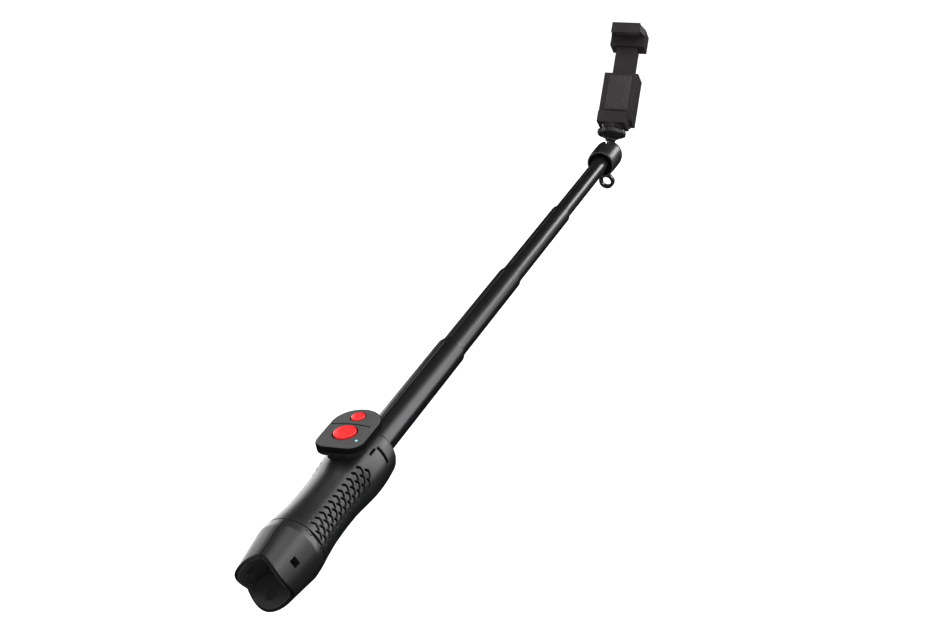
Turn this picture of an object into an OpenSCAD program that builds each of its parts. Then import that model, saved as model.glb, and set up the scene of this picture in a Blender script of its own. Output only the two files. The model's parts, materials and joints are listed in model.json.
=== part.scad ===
// Telescopic selfie stick: a waisted grip whose lower end opens into three short legs,
// a docked wireless remote, four telescoping tubes, a ball head and a spring phone clamp.
// Frame: origin at the centre of the flat end cap inside the legs, +Y along the stick
// towards the phone clamp, +Z out of the front of the grip (the remote's side), +X to the right.

/* [Grip] */
// Height of the tube mouth above the end cap
grip_len = 106; // [104:0.5:108]
// Thickness of the soft sleeve
sleeve_t = 1.8; // [1.6:0.1:2.0]
// Radius of the bore that the first tube slides in
core_bore_r = 9.6; // [9.6:0.01:9.62]

/* [Legs] */
// How far the leg tips reach below the end cap
tip_drop = 16; // [14:0.25:17]
// Depth of the notches between the leg tips
notch = 6.5; // [5:0.1:8]
// Side of the square hole in each leg
leg_hole = 4.4; // [3:0.1:5]
// Wall of each leg shell
leg_t = 2.0; // [1.8:0.1:2.2]

/* [Tubes] */
// Visible length of the first tube
seen_1 = 112; // [104:1:120]
// Visible length of the second tube
seen_2 = 95.5; // [94.5:0.5:100]
// Visible length of the third tube
seen_3 = 96; // [95:0.5:100]
// Visible length of the fourth tube, up to the ball head's skirt
seen_4 = 85.5; // [85:0.5:92]
// Depth of the key groove along each tube
key_d = 0.25; // [0.1:0.05:0.3]

/* [Ball head] */
// Radius of the ball
ball_r = 6.2; // [6.0:0.05:6.2]
// Radius of the domed housing
dome_r = 10.3; // [10.1:0.1:10.5]
// Tilt of the phone clamp away from the stick's own line
tilt = 44; // [0:1:60]
// Turn of the phone clamp on its stud
turn = 6.6; // [-30:0.1:30]

/* [Phone clamp] */
// Gap between the two jaw pads
jaw_gap = 67; // [60:1:84]
// Width of the jaws
jaw_w = 21; // [19:0.5:22]

/* [Remote] */
// Width of the remote
remote_w = 28.8; // [28.5:0.1:30]
// Radius of the large button
big_r = 6.3; // [6.3:0.1:6.9]
// Radius of the small button
small_r = 3.9; // [3.8:0.1:4.6]

/* [Hidden] */
$fn = 64;
e = 0.01;

// ---- derived lengths along the stick ----
y1 = grip_len + seen_1;      // end of tube 1
y2 = y1 + seen_2;
y3 = y2 + seen_3;
y4 = y3 + seen_4;            // rim of the ball head's skirt
ball_y = y4 + 17.5;          // centre of the ball
lap = 12;                    // how much of each tube stays inside the next larger one
seam = 16.5;                 // height of the ring where the legs meet the grip
hinge_r = 16.3;              // distance of a leg hinge from the axis
hinge_y = seam - 1.6;        // height of the leg hinges
knuckle_r = 1.35;
// outer radii of the tubes and their wall
R1 = 9.0; R2 = 7.8; R3 = 6.8; R4 = 5.7; tube_t = 0.5;

// ---- outline of the grip: a smooth curve through a few chosen radii ----
// [height, radius]
KEYS = [[5, 18.9], [11, 18.1], [17, 17.7], [25, 16.7], [36, 15.7], [50, 15.3], [64, 15.6], [76, 16.7],
    [85, 17.35], [91, 17.4], [98, 17.0], [106, 16.2], [114, 15.4]];
function crom(a, b, c, d, t) = 0.5 * ((2 * b) + (c - a) * t + (2 * a - 5 * b + 4 * c - d) * t * t + (3 * b - a - 3 * c + d) * t * t * t);
function grip_at(y, i = 1) = y <= KEYS[i + 1][0] || i >= len(KEYS) - 3
    ? crom(KEYS[i - 1][1], KEYS[i][1], KEYS[i + 1][1], KEYS[i + 2][1], (y - KEYS[i][0]) / (KEYS[i + 1][0] - KEYS[i][0]))
    : grip_at(y, i + 1);
// outline of the legs: a straight taper to a soft edge, then the grip's own curve
function leg_at(y) = y < 10.4 ? 14.5 + (y + 20) * 3.6 / 31 : (y < 11.4 ? 18.03 : grip_at(y));

// ---- helpers ----
// turns a shape drawn about +Z so that it stands about +Y
module along_y() { rotate([-90, 0, 0]) children(); }
// a solid of revolution about the stick's axis from [radius, height] points
module spin_y(pts) { along_y() rotate_extrude($fn = 96) polygon(pts); }
// a plain ring about the axis
module ring_y(r0, r1, a, b) { spin_y([[r0, a], [r1, a], [r1, b], [r0, b]]); }
module disc_y(r, a, b) { translate([0, a, 0]) along_y() cylinder(r = r, h = b - a); }
// a cylinder along X
module bar_x(r, a, b, y, z) { translate([a, y, z]) rotate([0, 90, 0]) cylinder(r = r, h = b - a); }
// a cylinder along Z
module post(r, x, y, a, b) { translate([x, y, a]) cylinder(r = r, h = b - a); }
module block(x0, x1, y0, y1, z0, z1) { translate([x0, y0, z0]) cube([x1 - x0, y1 - y0, z1 - z0]); }
// a rounded rectangle in plan
module soft_rect(w, l, r, $fn = 48) {
    union() {
        translate([-w / 2 + r, -l / 2]) square([w - 2 * r, l]);
        translate([-w / 2, -l / 2 + r]) square([w, l - 2 * r]);
        for (x = [-1, 1], y = [-1, 1]) translate([x * (w / 2 - r), y * (l / 2 - r)]) circle(r);
    }
}
// the straight-sided plan with two round ends
module stadium(r, y0, y1) {
    union() {
        translate([0, y0 + r]) circle(r);
        translate([0, y1 - r]) circle(r);
        translate([-r, y0 + r]) square([2 * r, y1 - y0 - 2 * r]);
    }
}

// ======================= grip =======================
dock_y0 = 72.8; dock_y1 = 102.4; boss_r = 9;
module dock_cut(m, z0) { translate([0, 0, z0]) linear_extrude(30) stadium(boss_r + m, dock_y0 - m, dock_y1 + m); }

module grip_core() color([0.06, 0.06, 0.065]) difference() {
    spin_y(concat(
        [[core_bore_r, 2], [11.2, 2], [11.2, seam + 0.4]],
        [for (y = [seam + 0.4 : 4 : 99]) [grip_at(y) - sleeve_t, y]],
        [[grip_at(100) - sleeve_t, 100], [core_bore_r, 100]]));
    dock_cut(1.2, 11.2);
}
module grip_sleeve() color([0.05, 0.05, 0.055]) difference() {
    spin_y(concat(
        [for (y = [seam + 0.4 : 4 : 99]) [grip_at(y), y]], [[grip_at(100), 100], [grip_at(103.2), 103.2], [grip_at(103.2) - sleeve_t, 103.2], [grip_at(100) - sleeve_t, 100]],
        [for (i = [20 : -1 : 0]) [grip_at(seam + 0.4 + 4 * i) - sleeve_t, seam + 0.4 + 4 * i]]));
    dock_cut(1.2, 11.2);
}
module end_cap() color([0.05, 0.05, 0.05]) spin_y([[0, 0], [3.8, 0], [3.8, 0.5], [10.7, 0.5], [11.2, 1], [11.2, 2], [9.5, 2], [9.5, 3.2], [0, 3.2]]);
module collar() color([0.06, 0.06, 0.065]) difference() {
    spin_y([[9.3, 100], [grip_at(100) - sleeve_t - 0.05, 100], [grip_at(103.2) - sleeve_t, 103.2], [grip_at(103.2), 103.2],
        [grip_at(104.6), 104.6], [grip_at(105) - 0.35, 105.5], [grip_at(106) - 0.9, grip_len], [11.2, grip_len], [10.9, grip_len - 0.8], [9.3, grip_len - 0.8]]);
    dock_cut(1.2, 11.2);
}
// lining of the pocket that the remote's battery bulge drops into
module remote_dock() color([0.07, 0.07, 0.075]) difference() {
    intersection() {
        translate([0, 0, 11.2]) linear_extrude(8) stadium(boss_r + 1.2, dock_y0 - 1.2, dock_y1 + 1.2);
        union() {
            spin_y([[0, 60], [grip_at(66), 60], [grip_at(72), 72], [grip_at(78), 78], [grip_at(84), 84], [grip_at(90), 90], [grip_at(96), 96],
                [grip_at(102), 102], [grip_at(105) - 0.35, 105.5], [0, 105.5]]);
        }
    }
    translate([0, 0, 12.2]) linear_extrude(10) stadium(boss_r + 0.3, dock_y0 - 0.3, dock_y1 + 0.3);
}

// ======================= legs =======================
module sector(off) { // a 120 degree wedge about +Z, its apex moved out by off
    along_y() translate([0, 0, -40]) linear_extrude(80)
        polygon([[0, -off], [60 * sin(60), -off - 60 * cos(60)], [0, -90], [-60 * sin(60), -off - 60 * cos(60)]]);
}
function tongue(x) = -tip_drop + notch * pow(min(1, abs(x) / 13.3), 1.8);
module tongue_shape() { polygon(concat([for (i = [-20 : 20]) let (x = 13.3 * sin(i * 4.5)) [x, tongue(x)]], [[24, notch - tip_drop], [24, 18], [-24, 18], [-24, notch - tip_drop]])); }

// the flat inner face: its top, its distance from the axis there, and its slope
face_y = -0.4; face_h = 4.2; face_s = -0.525;
module foot_disc(r, t) { // a disc set into the face near the tip
    translate([0, -9.8, face_h + (-9.8 - face_y) * face_s]) rotate([-27.7, 0, 0]) cylinder(r = r, h = t);
}
module leg(a) rotate([0, a, 0]) difference() {
    union() {
        intersection() {
            spin_y([[leg_at(-20), -20], [leg_at(10.2), 10.2], [18.08, 11], [leg_at(12.4), 12.4], [leg_at(seam - 0.4), seam - 0.4],
                [leg_at(seam - 0.4) - leg_t, seam - 0.4], [18.08 - leg_t, 11], [leg_at(10.2) - leg_t, 10.2], [leg_at(-20) - leg_t, -20]]);
            sector(0.28);
            linear_extrude(30) tongue_shape();
        }
        // solid web behind the flat inner face, which slopes out towards the tip
        intersection() {
            spin_y([[0, -20], [leg_at(-20) - 0.6, -20], [leg_at(0) - 0.6, face_y], [0, face_y]]);
            sector(0.28);
            linear_extrude(30) tongue_shape();
            rotate([90, 0, 90]) translate([0, 0, -20]) linear_extrude(40) polygon([[face_y + 1, face_h], [face_y, face_h], [-22, face_h + (-22 - face_y) * face_s], [-22, 40], [face_y + 1, 40]]);
        }
        bar_x(knuckle_r, -2, 2, hinge_y, hinge_r);
    }
    // room for the outer corner to turn under the ring
    difference() {
        block(-9, 9, hinge_y, seam + 1, hinge_r, 22);
        bar_x(knuckle_r, -10, 10, hinge_y, hinge_r);
    }
    // slots for the hub's ears
    for (s = [-1, 1]) {
        translate([s * 3.2, 0, 0]) bar_x(1.65, -1.2, 1.2, hinge_y, hinge_r);
        translate([s * 3.2, 0, 0]) block(-1.2, 1.2, hinge_y, seam + 1, hinge_r - 1.65, 22);
    }
    bar_x(0.8, -6, 6, hinge_y, hinge_r);
    block(-leg_hole / 2, leg_hole / 2, -4 - leg_hole / 2, -4 + leg_hole / 2, 11, 30);
    // seat of the rubber foot
    foot_disc(3.05, 1.25);
}
module foot(a) rotate([0, a, 0]) foot_disc(3.0, 1.2);
module leg_hub() color([0.05, 0.05, 0.05]) difference() {
    union() {
        ring_y(11.2, 14.4, 5, 16.3);
        for (a = [60, 180, 300]) rotate([0, a, 0]) for (s = [-1, 1]) translate([s * 3.2, 0, 0]) intersection() {
            union() {
                bar_x(knuckle_r, -1, 1, hinge_y, hinge_r);
                block(-1, 1, hinge_y - knuckle_r, hinge_y + knuckle_r, 13.4, hinge_r);
            }
            translate([-s * 3.2, 0, 0]) disc_y(17.85, 10, 18);
        }
    }
    for (a = [60, 180, 300]) rotate([0, a, 0]) bar_x(0.75, -6, 6, hinge_y, hinge_r);
}
module hinge_pins() color([0.7, 0.7, 0.72]) for (a = [60, 180, 300]) rotate([0, a, 0]) bar_x(0.75, -4.1, 4.1, hinge_y, hinge_r);
module leg_back() color([0.06, 0.06, 0.065]) leg(180);
module leg_left() color([0.06, 0.06, 0.065]) leg(300);
module leg_right() color([0.06, 0.06, 0.065]) leg(60);
module foot_back() color([0.1, 0.1, 0.1]) foot(180);
module foot_left() color([0.1, 0.1, 0.1]) foot(300);
module foot_right() color([0.1, 0.1, 0.1]) foot(60);

// ======================= tubes =======================
// one tube: outer radius, inner end, outer end, lip radius (0 for none), with a key groove along its front
module tube(r, a, b, lip) difference() {
    spin_y(lip > 0
        ? [[r - tube_t, a], [r, a], [r, b - 0.3], [r - 0.2, b], [lip, b], [lip, b - 3], [r - tube_t, b - 3]]
        : [[r - tube_t, a], [r, a], [r, b], [r - tube_t, b]]);
    block(-0.6, 0.6, a + lap + 4, b - 3, r - key_d, r + 2);
}
module tube_1() color([0.04, 0.04, 0.045]) tube(R1, 91.7, y1, 8.1);
module tube_2() color([0.04, 0.04, 0.045]) tube(R2, y1 - lap, y2, 7.1);
module tube_3() color([0.04, 0.04, 0.045]) tube(R3, y2 - lap, y3, 6.0);
module tube_4() color([0.04, 0.04, 0.045]) tube(R4, y3 - lap, ball_y - 7.2, 0);
// nylon friction bushes on the inner ends
module bush(r, ro, a) ring_y(r, ro, a, a + 8);
module bush_1() color([0.85, 0.85, 0.82]) bush(R1, core_bore_r - 0.05, 91.7);
module bush_2() color([0.85, 0.85, 0.82]) bush(R2, R1 - tube_t - 0.05, y1 - lap);
module bush_3() color([0.85, 0.85, 0.82]) bush(R3, R2 - tube_t - 0.05, y2 - lap);
module bush_4() color([0.85, 0.85, 0.82]) bush(R4, R3 - tube_t - 0.05, y3 - lap);

// ======================= ball head =======================
eye_c = 13.7; eye_r = 3.3;      // centre distance and hole radius of the eye behind the skirt
function dome(a) = [dome_r * cos(a), ball_y + dome_r * sin(a)];
module ball_housing() color([0.05, 0.05, 0.055]) difference() {
    union() {
        spin_y(concat(
            [[8.9, y4], [9.75, y4], [10.0, y4 + 0.4], [10.15, y4 + 3], [10.3, y4 + 8], [dome_r, ball_y - 4]],
            [for (a = [0 : 5 : 45]) dome(a)],
            [for (a = [45 : -6.5 : -20]) [(ball_r + 0.1) * cos(a), ball_y + (ball_r + 0.1) * sin(a)]],
            [[ball_r + 0.1, ball_y - 2.6], [ball_r + 0.1, y4 + 6], [8.0, y4 + 6], [8.6, y4 + 4]]));
        // eye for a wrist cord, behind the skirt
        rotate([0, -12, 0]) difference() {
            union() {
                translate([0, y4 + 0.2, -eye_c]) along_y() cylinder(r = 5.6, h = 3);
                block(-4, 4, y4 + 0.2, y4 + 3.2, -12, -9.5);
            }
            translate([0, y4 - 1, -eye_c]) along_y() cylinder(r = eye_r, h = 6);
            disc_y(9.5, y4 - 1, y4 + 6);
        }
    }
    // slot that lets the stem fold down to the front
    translate([0, ball_y + 0.03, 1.5]) linear_extrude(20) union() { circle(3.2); translate([-3.2, 0]) square([6.4, 20]); }
}
module ball_retainer() color([0.3, 0.3, 0.32]) ring_y(R4, ball_r + 0.1, y4 + 6, ball_y - 7.2);
module ball_spring() color([0.75, 0.75, 0.77]) ring_y(3.4, 6.0, ball_y - 7.2, ball_y - 6.6);
module ball_seat() color([0.9, 0.9, 0.88]) difference() {
    ring_y(2.5, ball_r + 0.05, ball_y - 6.6, ball_y - 2.6);
    translate([0, ball_y, 0]) sphere(r = ball_r + 0.05);
}

// everything above the ball is drawn upright about +Y with its origin at the ball, then tilted
module headed() { translate([0, ball_y, 0]) rotate([tilt, 0, 0]) rotate([0, turn, 0]) children(); }
module rev_l(pts) { rotate([-90, 0, 0]) rotate_extrude($fn = 96) polygon(pts); }
module ball_stem() color([0.06, 0.06, 0.065]) headed() union() {
    sphere(r = ball_r);
    rev_l([[0, 0], [2.7, 0], [2.7, 10.6], [4.0, 11.2], [4.0, 12.2], [3.1, 12.6], [3.1, 26.4], [2.7, 26.8], [0, 26.8]]);
}
// the lock wheel: a cone-bottomed knob with two broad wings, on the stud
module lock_wheel() color([0.05, 0.05, 0.055]) headed() difference() {
    union() {
        rev_l([[0, 12.9], [4.4, 12.9], [5.6, 14.2], [8.2, 15.6], [8.6, 16.4], [8.6, 18.6], [8.0, 19.2], [0, 19.2]]);
        for (a = [0, 180]) rotate([0, a, 0]) intersection() {
            rev_l([[0, 12.9], [4.4, 12.9], [10.1, 15.6], [10.6, 16.4], [10.6, 18.4], [10.0, 19.2], [0, 19.2]]);
            translate([2, 0, -4.6]) cube([12, 30, 9.2]);
        }
    }
    rotate([-90, 0, 0]) cylinder(r = 4.6, h = 40);
}
module wheel_nut() color([0.72, 0.6, 0.3]) headed() difference() {
    rev_l([[0, 12.9], [4.6, 12.9], [4.6, 19.2], [0, 19.2]]);
    rotate([-90, 0, 0]) cylinder(r = 3.15, h = 40);
}

// ======================= phone clamp =======================
jf = 29.3;                   // height of the lower jaw's floor above the ball
jt = jf + jaw_gap;           // height of the upper jaw's pad
bh = 66;                     // top of the clamp body
hw = jaw_w / 2;
bw = hw + 2.2;               // half width of the back and of the upper jaw's rear
module cover_spots() { for (y = [33, bh - 4.5]) for (x = [-10.5, 10.5]) translate([x, y, 0]) children(); }
module plan_y(y0, y1, pts) { translate([0, y0, 0]) rotate([-90, 0, 0]) linear_extrude(y1 - y0) polygon(pts); }
module clamp_body() color([0.06, 0.06, 0.065]) headed() difference() {
    union() {
        block(-hw, hw, 22.6, jf + 1.8, 6.9, 8.8);
        block(-hw, hw, 22.6, jf - 1, -8, 8.8);
        block(-hw, hw, 26.4, jf + 2, -12.6, -1);
        block(-bw, bw, 28.6, bh, -12.6, -1);
        rev_l([[0, 19.8], [6.6, 19.8], [8.2, 22.7], [0, 22.7]]);
    }
    // pocket for the upper jaw's arm, open at the top and the rear
    block(-8.3, 8.3, 29.0, bh + 1, -13, -5);
    // sockets of the guide rods
    for (x = [-4.8, 4.8]) translate([x, 27.4, -8.8]) rotate([-90, 0, 0]) cylinder(r = 1.25, h = 3);
    // sockets of the spring bar
    bar_x(0.6, -9.6, 9.6, 30.4, -10.6);
    // holes for the cover's screws
    cover_spots() post(0.8, 0, 0, -14, -8.4);
    // blind bore for the threaded insert
    rotate([-90, 0, 0]) cylinder(r = 4.6, h = 27.6);
    // recess of the back pad
    block(-8.6, 8.6, 36, 64, -1.5, 0);
    // recess of the lower pad
    block(-8.6, 8.6, jf - 1.0, jf + 1, 0.2, 6.5);
}
module clamp_cover() color([0.05, 0.05, 0.055]) headed() difference() {
    block(-bw, bw, 28.9, bh, -16.4, -12.7);
    cover_spots() { post(1.6, 0, 0, -17, -14.8); post(0.85, 0, 0, -16, -12); }
}
module cover_screws() color([0.6, 0.6, 0.62]) headed() cover_spots() union() {
    post(0.8, 0, 0, -14.9, -8.5);
    difference() { post(1.5, 0, 0, -15.8, -14.8); block(-1.1, 1.1, -0.25, 0.25, -16, -15.4); block(-0.25, 0.25, -1.1, 1.1, -16, -15.4); }
}
module thread_insert() color([0.75, 0.6, 0.3]) headed() difference() {
    rev_l([[0, 19.9], [4.6, 19.9], [4.6, 27.5], [0, 27.5]]);
    rotate([-90, 0, 0]) cylinder(r = 3.15, h = 26.9);
}
module lower_pad() color([0.12, 0.11, 0.12]) headed() block(-8.5, 8.5, jf - 1.0, jf, 0.3, 6.4);
module back_pad() color([0.12, 0.11, 0.12]) headed() block(-8.5, 8.5, 36.1, 63.9, -1.5, 0);
module upper_jaw() color([0.06, 0.06, 0.065]) headed() difference() {
    union() {
        plan_y(jt + 1, jt + 6.2, [[-hw, -8.8], [hw, -8.8], [hw, -5.5], [bw, 2.5], [bw, 16.4], [-bw, 16.4], [-bw, 2.5], [-hw, -5.5]]);
        block(-hw, hw, jt - 1.8, jt + 6.2, 6.9, 8.8);
        block(-8, 8, jt - 54, jt + 2, -12.3, -5.3);
        block(-bw, bw, jt - 7, jt + 2, -16.4, -3);
    }
    block(-8.6, 8.6, jt - 1, jt + 1.0, 0.2, 6.5);
    // bores for the rods
    for (x = [-4.8, 4.8]) translate([x, jt - 55, -8.8]) rotate([-90, 0, 0]) cylinder(r = 1.3, h = 47);
    // channel for the springs
    block(-2.6, 2.6, jt - 55, jt - 19, -13, -7.6);
}
module upper_pad() color([0.12, 0.11, 0.12]) headed() block(-8.5, 8.5, jt, jt + 1.0, 0.3, 6.4);
module guide_rods() color([0.75, 0.75, 0.78]) headed() for (x = [-4.8, 4.8]) translate([x, 27.4, -8.8]) rotate([-90, 0, 0]) cylinder(r = 1.25, h = 38.6);
module spring_anchors() color([0.7, 0.7, 0.72]) headed() bar_x(0.6, -9.5, 9.5, 30.4, -10.6);
module jaw_spring(x) headed() translate([x, 31.2, -10.4]) rotate([-90, 0, 0]) difference() { cylinder(r = 1.1, h = jt - 19.2 - 31.2); translate([0, 0, -1]) cylinder(r = 0.6, h = 80); }
module jaw_spring_left() color([0.75, 0.75, 0.78]) jaw_spring(-1.3);
module jaw_spring_right() color([0.75, 0.75, 0.78]) jaw_spring(1.3);

// ======================= remote =======================
rz0 = 19.2; rz1 = 21.6; rz2 = 25.0;      // underside, split line and face
rw = remote_w / 2; ry0 = 71.2; ryc = 96.0; px = 0.9; // half width, lower edge, centre of the round end, sideways offset of the plate
big_y = 85.9; small_y = 102.0; cell_y = 87.6;
module remote_plan(m) { // the remote's outline, shrunk by m
    translate([px, 0]) union() {
        translate([0, ryc]) circle(rw - m, $fn = 96);
        translate([0, (ry0 + ryc) / 2]) soft_rect(2 * (rw - m), ryc - ry0 - 2 * m, 8 - m);
        translate([-rw + m, ryc - 8]) square([2 * (rw - m), 8]);
    }
}
module remote_slab(m, a, b) { translate([0, 0, a]) linear_extrude(b - a) remote_plan(m); }
module remote_top() color([0.16, 0.16, 0.165]) difference() {
    union() { remote_slab(0, rz1, rz2 - 0.9); remote_slab(0.35, rz2 - 0.9, rz2 - 0.35); remote_slab(0.9, rz2 - 0.35, rz2); }
    remote_slab(1.4, rz1 - 1, rz2 - 1.2);
    post(big_r + 0.3, 0, big_y, 20, 30);
    post(small_r + 0.3, 0, small_y, 20, 30);
    post(big_r + 0.8, 0, big_y, rz2 - 0.35, 30);
    post(small_r + 0.7, 0, small_y, rz2 - 0.35, 30);
    post(0.8, 9.9, big_y - 6.4, 20, 30);
    // shallow curved line between the buttons
    intersection() {
        translate([0, 48.9, rz2 - 0.3]) difference() { cylinder(r = 46, h = 3, $fn = 128); translate([0, 0, -1]) cylinder(r = 45.4, h = 5, $fn = 128); }
        block(-rw + 1.8, rw - 1.8, 88, 98, 20, 30);
    }
}
module remote_bottom() color([0.07, 0.07, 0.075]) difference() {
    union() {
        remote_slab(0, rz0 + 0.9, rz1); remote_slab(0.6, rz0, rz0 + 0.9);
        translate([0, 0, 12.4]) linear_extrude(rz0 - 12.4 + 0.5) stadium(boss_r, dock_y0, dock_y1);
    }
    remote_slab(1.4, rz0 + 1.2, rz1 + 1);
    post(8.15, 0, cell_y, 13.6, 22);
    post(7.0, 0, cell_y, 10, 20);
}
module big_button() color([0.85, 0.05, 0.06]) intersection() {
    union() { post(big_r, 0, big_y, 22.8, 27); post(big_r + 0.9, 0, big_y, 22.8, 23.5); }
    translate([0, big_y, 26.1 - 19]) sphere(r = 19, $fn = 96);
}
module small_button() color([0.85, 0.05, 0.06]) intersection() {
    union() { post(small_r, 0, small_y, 22.8, 27); post(small_r + 0.8, 0, small_y, 22.8, 23.5); }
    translate([0, small_y, 25.8 - 12]) sphere(r = 12, $fn = 96);
}
module status_lens() color([0.2, 0.75, 0.95]) post(0.8, 9.9, big_y - 6.4, 23.2, rz2 + 0.1);
module remote_board() color([0.05, 0.3, 0.12]) translate([0, 0, 20.6]) linear_extrude(0.8) difference() { remote_plan(1.8); translate([-9, ry0 + 1]) square([3, 4]); }
module button_switches() color([0.8, 0.8, 0.8]) union() { for (y = [big_y, small_y]) union() { block(-2.2, 2.2, y - 2.2, y + 2.2, 21.4, 22.2); post(1.1, 0, y, 22.2, 22.45); } }
module coin_cell() color([0.8, 0.8, 0.82]) union() { post(8.0, 0, cell_y, 13.8, 15.2); post(7.3, 0, cell_y, 15.2, 15.4); }
module cell_contacts() color([0.8, 0.7, 0.35]) for (x = [-3, 3]) post(1.1, x, cell_y, 15.4, 20.6);
module battery_door() color([0.07, 0.07, 0.075]) difference() {
    post(6.9, 0, cell_y, 12.4, 13.6);
    block(-4.5, 4.5, cell_y - 0.8, cell_y + 0.8, 12, 13);
}

grip_core();
grip_sleeve();
end_cap();
collar();
remote_dock();
leg_hub();
hinge_pins();
leg_back();
leg_left();
leg_right();
foot_back();
foot_left();
foot_right();
tube_1();
tube_2();
tube_3();
tube_4();
bush_1();
bush_2();
bush_3();
bush_4();
ball_housing();
ball_retainer();
ball_spring();
ball_seat();
ball_stem();
lock_wheel();
wheel_nut();
clamp_body();
clamp_cover();
cover_screws();
thread_insert();
lower_pad();
back_pad();
upper_jaw();
upper_pad();
guide_rods();
spring_anchors();
jaw_spring_left();
jaw_spring_right();
remote_top();
remote_bottom();
big_button();
small_button();
status_lens();
remote_board();
button_switches();
coin_cell();
cell_contacts();
battery_door();
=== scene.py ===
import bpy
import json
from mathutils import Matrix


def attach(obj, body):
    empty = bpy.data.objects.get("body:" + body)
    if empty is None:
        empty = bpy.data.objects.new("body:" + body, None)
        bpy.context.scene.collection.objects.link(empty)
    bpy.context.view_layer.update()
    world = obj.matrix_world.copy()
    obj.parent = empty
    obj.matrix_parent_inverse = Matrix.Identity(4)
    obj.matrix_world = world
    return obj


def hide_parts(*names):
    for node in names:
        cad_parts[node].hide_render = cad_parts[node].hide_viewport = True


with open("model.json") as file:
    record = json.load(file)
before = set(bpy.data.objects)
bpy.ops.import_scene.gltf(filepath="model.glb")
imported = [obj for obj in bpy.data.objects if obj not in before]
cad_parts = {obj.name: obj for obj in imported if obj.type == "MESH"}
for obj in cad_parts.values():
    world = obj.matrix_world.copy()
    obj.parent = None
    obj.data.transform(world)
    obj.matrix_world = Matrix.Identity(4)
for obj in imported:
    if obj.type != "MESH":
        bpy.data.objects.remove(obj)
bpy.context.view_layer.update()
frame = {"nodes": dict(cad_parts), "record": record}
import json
import math

import bmesh
import bpy
import numpy as np
from mathutils import Matrix, Vector

MM = 0.001
PI = math.pi

# ---------------------------------------------------------------- dimensions, in mm, the same as the solid model's
KEYS = [(5, 18.9), (11, 18.1), (17, 17.7), (25, 16.7), (36, 15.7), (50, 15.3), (64, 15.6), (76, 16.7),
        (85, 17.35), (91, 17.4), (98, 17.0), (106, 16.2), (114, 15.4)]
GRIP_LEN = 106.0
Y4 = 495.0
BALL_Y = 512.5
BALL_R = 6.2
DOME_R = 10.3
TILT = math.radians(44)
TURN = math.radians(6.6)
HW = 10.5
BW = 12.7
JF = 29.3
JT = 96.3
BH = 66.0
R1, R2, R3, R4 = 9.0, 7.8, 6.8, 5.7
Y1, Y2, Y3 = 218.0, 313.5, 409.5
BIG_Y, SMALL_Y, CELL_Y = 85.9, 102.0, 87.6
BIG_R, SMALL_R = 6.3, 3.9
RW, RY0, RYC, RZ0, RZ1, RZ2, PX = 14.4, 71.2, 96.0, 19.2, 21.6, 25.0, 0.9
DOCK_Y0, DOCK_Y1, BOSS_R = 72.8, 102.4, 9.0


def grip_at(y):
    i = 1
    while i < len(KEYS) - 3 and y > KEYS[i + 1][0]:
        i += 1
    a, b, c, d = (KEYS[i - 1][1], KEYS[i][1], KEYS[i + 1][1], KEYS[i + 2][1])
    t = (y - KEYS[i][0]) / (KEYS[i + 1][0] - KEYS[i][0])
    return 0.5 * (2 * b + (c - a) * t + (2 * a - 5 * b + 4 * c - d) * t * t + (3 * b - a - 3 * c + d) * t ** 3)


HEAD = Matrix.Translation((0, BALL_Y, 0)) @ Matrix.Rotation(TILT, 4, "X") @ Matrix.Rotation(TURN, 4, "Y")
IDENT = Matrix.Identity(4)


# ---------------------------------------------------------------- mesh helpers
def add(name, verts, faces, mat=None, body=None, slot=None, xf=IDENT, smooth=True, angle=35, replaces=()):
    """A mesh object from points in mm."""
    name = name.replace(" ", "_")
    me = bpy.data.meshes.new(name)
    me.from_pydata([tuple(MM * c for c in (xf @ Vector(v))) for v in verts], [], faces)
    me.update()
    ob = bpy.data.objects.new(name, me)
    bpy.context.scene.collection.objects.link(ob)
    finish_piece(ob, mat, body, slot, smooth, angle, replaces)
    return ob


def finish_piece(ob, mat=None, body=None, slot=None, smooth=True, angle=35, replaces=()):
    me = ob.data
    bm = bmesh.new()
    bm.from_mesh(me)
    bmesh.ops.recalc_face_normals(bm, faces=bm.faces)
    lim = math.radians(angle)
    for f in bm.faces:
        f.smooth = smooth
    for ed in bm.edges:
        ed.smooth = len(ed.link_faces) == 2 and ed.calc_face_angle(0) < lim
    bm.to_mesh(me)
    bm.free()
    if mat:
        me.materials.clear()
        me.materials.append(mat)
    if body:
        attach(ob, body)
    if replaces:
        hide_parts(*replaces)
    return ob


def from_bm(name, bm, xf=IDENT, **kw):
    """bm holds points in mm."""
    bmesh.ops.transform(bm, matrix=Matrix.Scale(MM, 4) @ xf, verts=bm.verts)
    name = name.replace(" ", "_")
    me = bpy.data.meshes.new(name)
    bm.to_mesh(me)
    bm.free()
    ob = bpy.data.objects.new(name, me)
    bpy.context.scene.collection.objects.link(ob)
    return finish_piece(ob, **kw)


def lathe_mesh(profile, n=96, closed=True):
    """Turns (r, y) points about +Y. closed joins the last point to the first."""
    verts, faces, rings = [], [], []
    for r, y in profile:
        if r < 1e-6:
            rings.append([len(verts)])
            verts.append((0, y, 0))
        else:
            rings.append(list(range(len(verts), len(verts) + n)))
            verts += [(r * math.sin(2 * PI * i / n), y, r * math.cos(2 * PI * i / n)) for i in range(n)]
    pairs = list(zip(rings, rings[1:] + ([rings[0]] if closed else [])))
    for a, b in pairs:
        if len(a) == 1 and len(b) == 1:
            continue
        for i in range(n):
            j = (i + 1) % n
            if len(a) == 1:
                faces.append((a[0], b[j], b[i]))
            elif len(b) == 1:
                faces.append((a[i], a[j], b[0]))
            else:
                faces.append((a[i], a[j], b[j], b[i]))
    return verts, faces


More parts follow.
